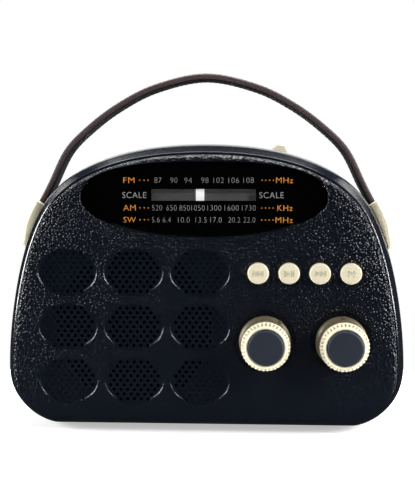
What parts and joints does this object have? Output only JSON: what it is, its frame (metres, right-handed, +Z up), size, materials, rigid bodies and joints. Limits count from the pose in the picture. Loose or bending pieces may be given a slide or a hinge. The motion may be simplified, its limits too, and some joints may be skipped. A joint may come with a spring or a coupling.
{
  "type": "portable radio",
  "caption": "Arched portable radio with a dial window, nine-panel speaker grille, push buttons, two knobs, a telescopic antenna and a carrying strap.",
  "frame": {"origin": "centre of the bounding box at the surface the feet stand on", "axes": "+Z up, front face towards -Y, +X to the right of someone facing the front"},
  "size_m": [0.2, 0.076, 0.1783],
  "materials": {
    "case": "near-black navy plastic moulded with a fine leather grain",
    "cream": "satin ivory plastic",
    "navy": "satin dark navy plastic",
    "bright": "bright champagne ring",
    "window": "clear smoked acrylic",
    "scale": "black printed plate",
    "grey": "grey plastic",
    "white": "white plastic",
    "leather": "dark reddish brown leather",
    "rubber": "matt rubber",
    "steel": "plated steel",
    "chrome": "polished chrome",
    "board": "green circuit board",
    "paper": "black speaker paper",
    "ferrite": "dark ferrite",
    "copper": "enamelled copper wire",
    "wrap": "shrink-wrapped cell",
    "cord": "waxed cord",
    "basket": "black painted pressed steel"
  },
  "bodies": {
    "root": {"front_shell": "case", "rear_shell": "case", "foot_1": "rubber", "foot_2": "rubber", "foot_3": "rubber", "foot_4": "rubber", "case_screw_1": "steel", "case_screw_2": "steel", "case_screw_3": "steel", "case_screw_4": "steel", "dial_window": "window", "dial_scale": "scale", "dial_frame": "grey", "pointer_rail": "steel", "dial_cord": "cord", "key_board": "board", "volume_control": "steel", "tuning_capacitor": "white", "speaker_frame": "basket", "speaker_cone": "paper", "speaker_magnet": "ferrite", "main_board": "board", "ferrite_rod": "ferrite", "aerial_coil": "copper", "jack_socket": "steel", "usb_socket": "steel", "card_socket": "steel", "power_socket": "steel", "battery_cell": "wrap", "battery_contact": "steel", "battery_spring": "steel", "band_switch_body": "steel", "strap_end_left": "leather", "strap_end_right": "leather", "strap_bracket_left": "cream", "strap_bracket_right": "cream"},
    "tuning": {"tuning_knob": "cream", "tuning_knob_ring": "bright", "tuning_knob_cap": "navy", "tuning_spindle": "steel", "dial_drum": "white"},
    "pointer": {"dial_pointer": "white"},
    "pulley_left": {"cord_pulley_left": "white"},
    "pulley_right": {"cord_pulley_right": "white"},
    "volume": {"volume_knob": "cream", "volume_knob_ring": "bright", "volume_knob_cap": "navy", "volume_spindle": "steel"},
    "previous_key": {"previous_button": "cream"},
    "play_key": {"play_button": "cream"},
    "next_key": {"next_button": "cream"},
    "mode_key": {"mode_button": "cream"},
    "band_lever": {"band_switch_lever": "cream"},
    "antenna_base": {"antenna_swivel": "chrome"},
    "antenna_mast": {"antenna_tube_1": "chrome"},
    "antenna_middle": {"antenna_tube_2": "chrome"},
    "antenna_tip": {"antenna_tube_3": "chrome"},
    "carry_strap": {"strap": "leather"},
    "door": {"battery_door": "case"}
  },
  "joints": [
    {"name": "tuning_turn", "type": "hinge", "parent": "root", "child": "tuning", "pos_m": [0.0665, -0.03, 0.047], "axis": [0, 1, 0], "range_deg": [-82.5, 95]},
    {"name": "pointer_slide", "type": "slide", "parent": "root", "child": "pointer", "axis": [1, 0, 0], "range_m": [-0.0214, 0.0246]},
    {"name": "pulley_left_turn", "type": "hinge", "parent": "root", "child": "pulley_left", "pos_m": [-0.041, -0.0095, 0.1045], "axis": [0, 1, 0], "range_deg": [-306, 352]},
    {"name": "pulley_right_turn", "type": "hinge", "parent": "root", "child": "pulley_right", "pos_m": [0.041, -0.0095, 0.1045], "axis": [0, 1, 0], "range_deg": [-306, 352]},
    {"name": "volume_turn", "type": "hinge", "parent": "root", "child": "volume", "pos_m": [0.0297, -0.03, 0.047], "axis": [0, 1, 0], "range_deg": [-187, 113]},
    {"name": "previous_press", "type": "slide", "parent": "root", "child": "previous_key", "axis": [0, 1, 0], "range_m": [0, 0.0008], "stiffness_N_per_m": 300, "springref_m": -0.001},
    {"name": "play_press", "type": "slide", "parent": "root", "child": "play_key", "axis": [0, 1, 0], "range_m": [0, 0.0008], "stiffness_N_per_m": 300, "springref_m": -0.001},
    {"name": "next_press", "type": "slide", "parent": "root", "child": "next_key", "axis": [0, 1, 0], "range_m": [0, 0.0008], "stiffness_N_per_m": 300, "springref_m": -0.001},
    {"name": "mode_press", "type": "slide", "parent": "root", "child": "mode_key", "axis": [0, 1, 0], "range_m": [0, 0.0008], "stiffness_N_per_m": 300, "springref_m": -0.001},
    {"name": "band_slide", "type": "slide", "parent": "root", "child": "band_lever", "axis": [0.9822, 0, -0.1881], "range_m": [-0.003, 0.003]},
    {"name": "antenna_turn", "type": "hinge", "parent": "root", "child": "antenna_base", "pos_m": [0.046, 0.034, 0.1333], "axis": [0, 1, 0], "range_deg": [0, 170]},
    {"name": "antenna_fold", "type": "hinge", "parent": "antenna_base", "child": "antenna_mast", "pos_m": [0.046, 0.034, 0.1333], "axis": [0, 0, -1], "range_deg": [0, 90]},
    {"name": "antenna_draw_1", "type": "slide", "parent": "antenna_mast", "child": "antenna_middle", "axis": [-1, 0, 0], "range_m": [0, 0.084]},
    {"name": "antenna_draw_2", "type": "slide", "parent": "antenna_middle", "child": "antenna_tip", "axis": [-1, 0, 0], "range_m": [0, 0.08]},
    {"name": "strap_swing", "type": "hinge", "parent": "root", "child": "carry_strap", "pos_m": [0, 0.009, 0.11804], "axis": [1, 0, 0], "range_deg": [-28, 28]},
    {"name": "door_hinge", "type": "hinge", "parent": "root", "child": "door", "pos_m": [0, 0.038, 0.02085], "axis": [-1, 0, 0], "range_deg": [0, 95]}
  ],
  "couplings": [
    {"joint": "pointer_slide", "follows": "tuning_turn", "m_per_rad": 0.0148},
    {"joint": "pulley_left_turn", "follows": "tuning_turn", "ratio": 3.7},
    {"joint": "pulley_right_turn", "follows": "tuning_turn", "ratio": 3.7}
  ]
}
